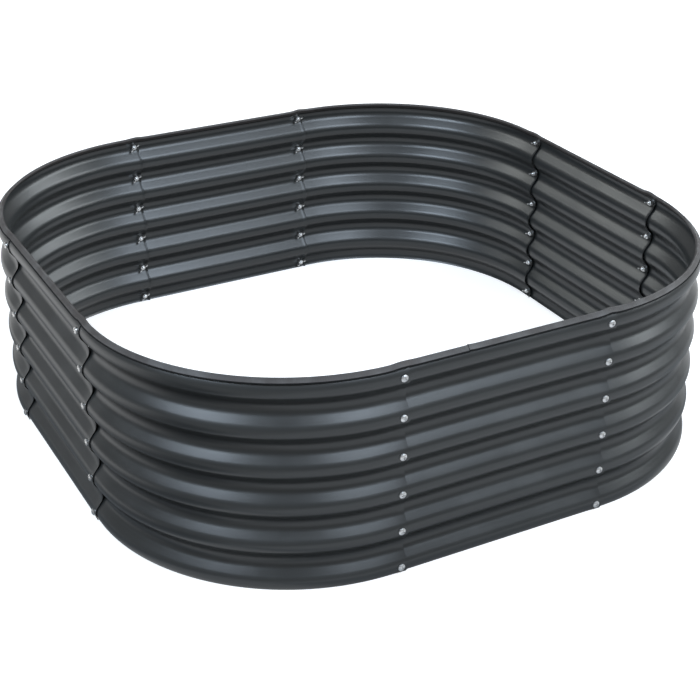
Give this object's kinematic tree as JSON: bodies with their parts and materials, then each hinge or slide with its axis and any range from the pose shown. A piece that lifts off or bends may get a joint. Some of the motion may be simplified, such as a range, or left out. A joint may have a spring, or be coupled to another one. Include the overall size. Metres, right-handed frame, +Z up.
{
  "type": "raised garden bed",
  "caption": "Square raised garden bed with rounded corners: a ring of bolted, lapped corrugated steel panels, open at top and bottom, with a rubber trim on its upper edge.",
  "frame": {"origin": "centre of the bed's footprint, on the ground", "axes": "+Z up, -Y towards the front, where the edge trim's ends meet, +X towards the bed's right side"},
  "size_m": [0.9066, 0.9066, 0.2965],
  "materials": {
    "coated_sheet": "satin anthracite coating on corrugated sheet steel",
    "edge_rubber": "dull grey rubber",
    "zinc_plated_steel": "bright zinc plate"
  },
  "bodies": {
    "root": {"front_panel": "coated_sheet", "right_panel": "coated_sheet", "back_panel": "coated_sheet", "left_panel": "coated_sheet", "front_left_corner_panel": "coated_sheet", "front_right_corner_panel": "coated_sheet", "back_right_corner_panel": "coated_sheet", "back_left_corner_panel": "coated_sheet", "edge_trim": "edge_rubber", "front_left_seam_bolts": "zinc_plated_steel", "front_right_seam_bolts": "zinc_plated_steel", "right_front_seam_bolts": "zinc_plated_steel", "right_back_seam_bolts": "zinc_plated_steel", "back_right_seam_bolts": "zinc_plated_steel", "back_left_seam_bolts": "zinc_plated_steel", "left_back_seam_bolts": "zinc_plated_steel", "left_front_seam_bolts": "zinc_plated_steel", "front_left_seam_nuts": "zinc_plated_steel", "front_right_seam_nuts": "zinc_plated_steel", "right_front_seam_nuts": "zinc_plated_steel", "right_back_seam_nuts": "zinc_plated_steel", "back_right_seam_nuts": "zinc_plated_steel", "back_left_seam_nuts": "zinc_plated_steel", "left_back_seam_nuts": "zinc_plated_steel", "left_front_seam_nuts": "zinc_plated_steel"}
  },
  "joints": []
}
